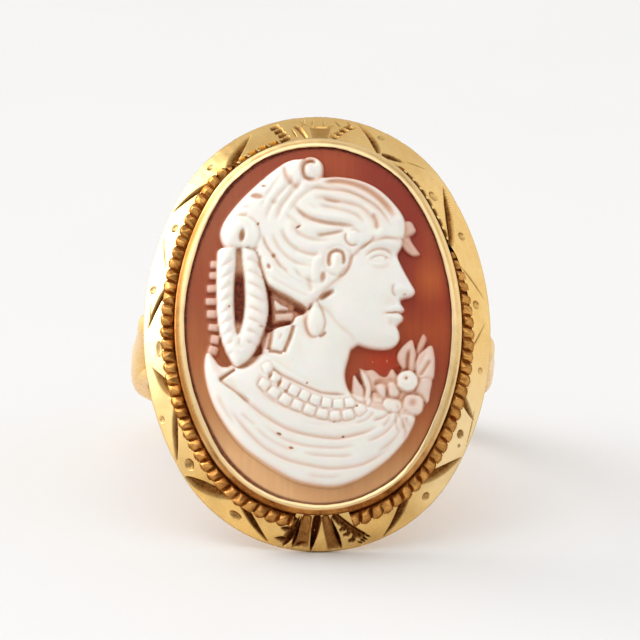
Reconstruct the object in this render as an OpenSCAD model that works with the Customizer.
// Cameo finger ring: a carved oval shell in a domed gold frame on a plain half-round shank.
//
// The ring lies as it rests by itself on a table: on the lower edge of its oval frame and on the
// lower rear edge of its shank. The finger hole's axis leans back by the angle "lean".
// Everything is first built in the head's own axes, then leaned back and set down on Z = 0:
//   x  to the right along the oval's short axis
//   y  along the oval's long axis, which is also the finger hole's axis
//   z  out of the face, measured from the finger hole's axis
// The oval is a four-centre oval, so each parallel line of the frame is four plain arcs.

/* [Stone] */
// Length of the carved shell along its long axis
stone_l = 17.6; // [17:0.1:18.2]
// Distance from the stone's middle to the centre of each end arc
end_k = 3.1422; // [3:0.0001:3.3]
// Thickness of the shell at its edge
stone_edge = 1.2; // [1:0.05:1.25]
// Rise of the shell's ground from its edge to its middle
dome_h = 0.9; // [0.5:0.05:1.2]
// Depth of the hollow in the shell's back
hollow_h = 0.7; // [0:0.05:0.9]
// Height of the carving above the ground
relief_h = 0.85; // [0.4:0.05:1.1]
// Gap between shell and metal
stone_gap = 0.03; // [0.02:0.01:0.06]

/* [Frame] */
// Width of the border from the stone's edge to the outer rim
border = 1.84; // [1.6:0.02:2.1]
// Height of the collet's lip above the plane of the outer rim
frame_h = 2.2; // [2.1:0.05:2.4]
// How far the lip covers the stone's edge
lip = 0.125; // [0.08:0.005:0.2]
// Height of the upright edge of the outer rim
rim_t = 0.22; // [0.15:0.01:0.3]
// Thickness of the domed sheet of the frame
sheet_t = 0.42; // [0.35:0.01:0.5]
// Width of the milled bead row round the collet
bead_w = 0.5; // [0.4:0.02:0.6]
// Width of the ledge that the stone sits on
ledge_w = 0.75; // [0.5:0.05:1]

/* [Shank] */
// Inner diameter of the finger hole
finger_d = 16.3; // [15.5:0.1:17.5]
// Width of the shank along the finger
shank_w = 2.2; // [1.8:0.1:2.4]
// Thickness of the shank at its crown
shank_t = 0.95; // [0.8:0.05:1.2]
// Clear height between the finger hole and the plane of the outer rim
head_gap = 1.05; // [0.9:0.05:1.5]
// Width of the shoulders along the finger
shoulder_w = 1.7; // [1.4:0.1:2]
// Half gap of the shank under the stone, seen across the finger hole
open_x = 5.3; // [5:0.1:5.5]
// Depth of the two worn flats that the ring rests on
wear = 0.03; // [0.01:0.01:0.05]

/* [Hidden] */
$fn = 96;

// four-centre oval of the stone's edge: side arcs meet end arcs 30 degrees up from the short axis
joint_a = 30;
ob = stone_l/2;                        // half length
end_r = ob - end_k;                    // end arcs' radius
side_k = end_k*sqrt(3);                // side arcs' centres on x
side_r = end_r + 2*end_k;              // side arcs' radius
oa = side_r - side_k;                  // half width, 6.5

bore_r = finger_d/2;
hoop_r = bore_r + shank_t;
edge_r = bore_r + shank_t*0.74;        // outer radius at the shank's two edges
rim_h = bore_r + head_gap;             // plane of the outer rim above the finger hole's axis
rim_b = ob + border;                   // half length of the frame
rim_a = oa + border;                   // half width of the frame

// rest: frame's lower edge and shank's lower rear edge share one plane
lean = atan2(rim_b - shank_w/2, rim_h + edge_r);
drop = rim_b*cos(lean) - rim_h*sin(lean) - wear;
lip_u = 0.18;                          // crest of the lip, outward of the stone's edge
front_y = -(ob + lip_u)*sin(lean) - (rim_h + frame_h)*cos(lean);
back_y = max(shank_w/2*sin(lean) + edge_r*cos(lean), shank_w*0.27*sin(lean) + hoop_r*cos(lean));

module rest_pose() {
  translate([0, -(front_y + back_y)/2, drop]) rotate([90 - lean, 0, 0]) children();
}

// ---- metal ---------------------------------------------------------------------------

// sweeps a profile round the oval; profile x = distance outward of the stone's edge, y = height
module oval_sweep() {
  for (turn = [0, 180]) rotate(turn) {
    translate([-side_k, 0, 0]) rotate_extrude(start = -joint_a, angle = 2*joint_a) translate([side_r, 0]) children();
    translate([0, end_k, 0]) rotate_extrude(start = joint_a, angle = 180 - 2*joint_a) translate([end_r, 0]) children();
  }
}

// domed border, bead row, collet with its lip and the ledge under the stone, as one section
module frame_profile() {
  col_o = 0.36;                        // collet's outer face
  bead_o = col_o + bead_w;             // outer side of the bead row
  bead_z = frame_h - 0.9;              // foot of the bead row
  polygon([
    [border, 0], [border, rim_t],
    [bead_o, bead_z], [bead_o - 0.1, bead_z + 0.3], [col_o + 0.1, bead_z + 0.42],
    [col_o, bead_z + 0.3], [col_o, frame_h - 0.16], [lip_u, frame_h],
    [-lip, frame_h - 0.04], [-lip, frame_h - 0.13], [stone_gap, frame_h - 0.18],
    [stone_gap, frame_h - 0.21 - stone_edge - stone_gap], [-ledge_w, frame_h - 0.21 - stone_edge - stone_gap],
    [-ledge_w, frame_h - 0.56 - stone_edge - stone_gap], [0.42, frame_h - 0.56 - stone_edge - stone_gap],
    [0.42, bead_z - sheet_t], [bead_o - 0.14, bead_z - sheet_t],
    [border - sheet_t*0.95, 0]
  ]);
}

// one side of the head's support: strap up to the rim, and riser from the finger circle to the ledge
module shoulder(s) {
  top_z = rim_h + 0.35;
  // strap along the outside, up to the frame's side
  rotate([90, 0, 0]) translate([0, 0, -shoulder_w/2]) linear_extrude(shoulder_w)
    polygon([
      [s*bore_r*0.97, 0], [s*(hoop_r - 0.02), 0], [s*(hoop_r - 0.05), rim_h*0.28], [s*(rim_a + 0.2), rim_h*0.7],
      [s*(rim_a - 0.02), rim_h + 0.12], [s*(rim_a - 0.5), rim_h + 0.12], [s*(rim_a - 0.62), rim_h*0.72],
      [s*(hoop_r - 1.05), rim_h*0.36]
    ]);
  // riser along the inside, up to the ledge
  rotate([90, 0, 0]) translate([0, 0, -shoulder_w/2]) linear_extrude(shoulder_w)
    polygon([
      [s*open_x, rim_h*0.6], [s*open_x, sqrt(pow(bore_r, 2) - pow(open_x, 2)) + 0.2], [s*(open_x + 0.55), top_z],
      [s*(open_x + 1.4), top_z], [s*(open_x + 1.15), rim_h*0.6]
    ]);
}

// small rounded tip of a shoulder, lapped against the frame's side
module shoulder_tip(s, dy) {
  translate([s*(rim_a - 0.24), dy, rim_h - 3.0]) cylinder(h = 3.05, r = 0.55);
}

module hoop_profile() {
  polygon([
    [bore_r - 0.3, -shank_w/2], [edge_r, -shank_w/2], [hoop_r - shank_t*0.05, -shank_w*0.27],
    [hoop_r, 0], [hoop_r - shank_t*0.05, shank_w*0.27], [edge_r, shank_w/2], [bore_r - 0.3, shank_w/2]
  ]);
}

// the shank's ring is open under the stone, between -open_x and open_x
module hoop() {
  gap_a = asin(open_x/bore_r);
  rotate([90, 0, 0]) rotate(90 + gap_a) rotate_extrude(angle = 360 - 2*gap_a) hoop_profile();
}

module ring_mount() {
  color("goldenrod") difference() {
    rest_pose() difference() {
      union() {
        translate([0, 0, rim_h]) oval_sweep() frame_profile();
        hoop();
        shoulder(1);
        shoulder(-1);
        shoulder_tip(-1, 0.55);
        shoulder_tip(1, -0.55);
      }
      rotate([90, 0, 0]) cylinder(h = 12, r = bore_r, center = true);
    }
    // wear flats, level with the table
    translate([-20, -20, -5]) cube([40, 40, 5]);
  }
}

// ---- carved shell ----------------------------------------------------------------------

// masses of the carving, in mm on the face of the stone
// [name, centre x, centre y, half width, half height, turn, height as a share of relief_h]
masses = [
  ["skull and hair",   -0.75,  4.20, 3.90, 3.35,   -8, 1.00],
  ["crown of hair",     1.10,  5.30, 2.80, 2.20,  -25, 0.85],
  ["diadem band",       1.55,  6.25, 2.60, 0.75,  -22, 0.55],
  ["diadem curl",      -0.40,  7.15, 0.65, 0.65,    0, 0.55],
  ["forehead bow",      4.30,  4.15, 0.40, 0.75,   20, 0.45],
  ["brow and cheek",    2.00,  2.55, 1.95, 2.45,   -5, 0.92],
  ["jaw",               1.60,  0.60, 1.75, 1.75,  -25, 0.88],
  ["nose",              3.75,  2.05, 0.50, 0.85,   12, 0.60],
  ["chin",              3.05, -0.55, 0.65, 0.65,    0, 0.66],
  ["ear-drop",         -0.15,  0.20, 0.38, 0.80,    0, 1.05],
  ["neck",              0.35, -1.70, 1.40, 2.60,   -8, 0.85],
  ["hair knot",        -3.65,  4.25, 1.00, 1.00,    0, 1.00],
  ["braid, left part", -4.55,  1.10, 0.55, 2.60,    0, 0.90],
  ["braid, right part",-3.05,  1.00, 0.80, 2.70,    6, 0.92],
  ["braid foot",       -3.55, -1.30, 1.10, 0.80,    8, 0.90],
  ["upper back",       -3.00, -3.30, 2.10, 1.50,  -30, 0.78],
  ["bust",             -0.30, -5.00, 4.30, 2.60,    0, 0.82],
  ["right shoulder",    2.40, -4.30, 2.20, 2.10,   20, 0.80],
  ["flower, upper",     4.15, -2.70, 0.90, 0.85,    0, 0.80],
  ["flower, lower",     4.40, -3.90, 0.85, 0.70,    0, 0.70],
  ["leaf, upper",       4.70, -1.20, 0.55, 1.00,  -15, 0.45],
  ["leaf, right",       5.15, -2.30, 0.45, 1.20,  -18, 0.42],
  ["leaf, left",        2.70, -2.45, 0.90, 0.50,    5, 0.50]
];

// height of one mass at a point, a half ellipsoid
function mass_at(m, x, y) =
  let (c = cos(m[5]), s = sin(m[5]), dx = x - m[1], dy = y - m[2],
       u = (c*dx + s*dy)/m[3], v = (c*dy - s*dx)/m[4], q = u*u + v*v)
  q >= 1 ? 0 : m[6]*pow(1 - q, 0.5);

function carving(x, y) = max([for (m = masses) mass_at(m, x, y)]);

// point of the stone's edge in the direction a from the middle
function edge_pt(a) =
  let (t = atan2(abs(sin(a)), abs(cos(a))), c = cos(a), s = sin(a),
       jx = end_r*cos(joint_a), jy = end_k + end_r*sin(joint_a), side = t < atan2(jy, jx),
       cx = side ? -side_k*sign(c) : 0, cy = side ? 0 : end_k*sign(s), r = side ? side_r : end_r,
       b = c*cx + s*cy, d = b + sqrt(b*b - cx*cx - cy*cy + r*r))
  [d*c, d*s];

rings = 30;                            // rings of the carved face
secs = 72;                             // points round each ring
back_rings = 6;                        // rings of the hollow back
z_top = rim_h + frame_h - 0.21;        // height of the stone's edge
z_bot = z_top - stone_edge;            // height of its back

function face_z(s, x, y) =
  z_top + dome_h*(1 - s*s) + relief_h*carving(x, y)*min(1, max(0, (0.97 - s)/0.05));
function back_z(s) = s > 0.88 ? z_bot : z_bot + hollow_h*(1 - pow(s/0.88, 2));

module cameo() {
  face = [for (i = [rings:-1:1], j = [0:secs - 1])
    let (s = i/rings, p = edge_pt(360*j/secs)*s) [p[0], p[1], face_z(s, p[0], p[1])]];
  back = [for (i = [back_rings:-1:1], j = [0:secs - 1])
    let (s = i/back_rings, p = edge_pt(360*j/secs)*s) [p[0], p[1], back_z(s)]];
  nf = rings*secs;
  nb = back_rings*secs;
  pts = concat(face, back, [[0, 0, face_z(0, 0, 0)], [0, 0, back_z(0)]]);
  strips = concat(
    [for (i = [0:rings - 2], j = [0:secs - 1]) let (k = (j + 1)%secs, a = i*secs, b = a + secs)
      each [[a + j, b + j, b + k], [a + j, b + k, a + k]]],
    [for (j = [0:secs - 1]) let (k = (j + 1)%secs, a = (rings - 1)*secs) [a + j, nf + nb, a + k]],
    [for (i = [0:back_rings - 2], j = [0:secs - 1]) let (k = (j + 1)%secs, a = nf + i*secs, b = a + secs)
      each [[a + j, b + k, b + j], [a + j, a + k, b + k]]],
    [for (j = [0:secs - 1]) let (k = (j + 1)%secs, a = nf + (back_rings - 1)*secs) [a + j, a + k, nf + nb + 1]],
    [for (j = [0:secs - 1]) let (k = (j + 1)%secs) each [[j, k, nf + k], [j, nf + k, nf + j]]]
  );
  color("peru") rest_pose() polyhedron(points = pts, faces = strips, convexity = 6);
}

ring_mount();
cameo();
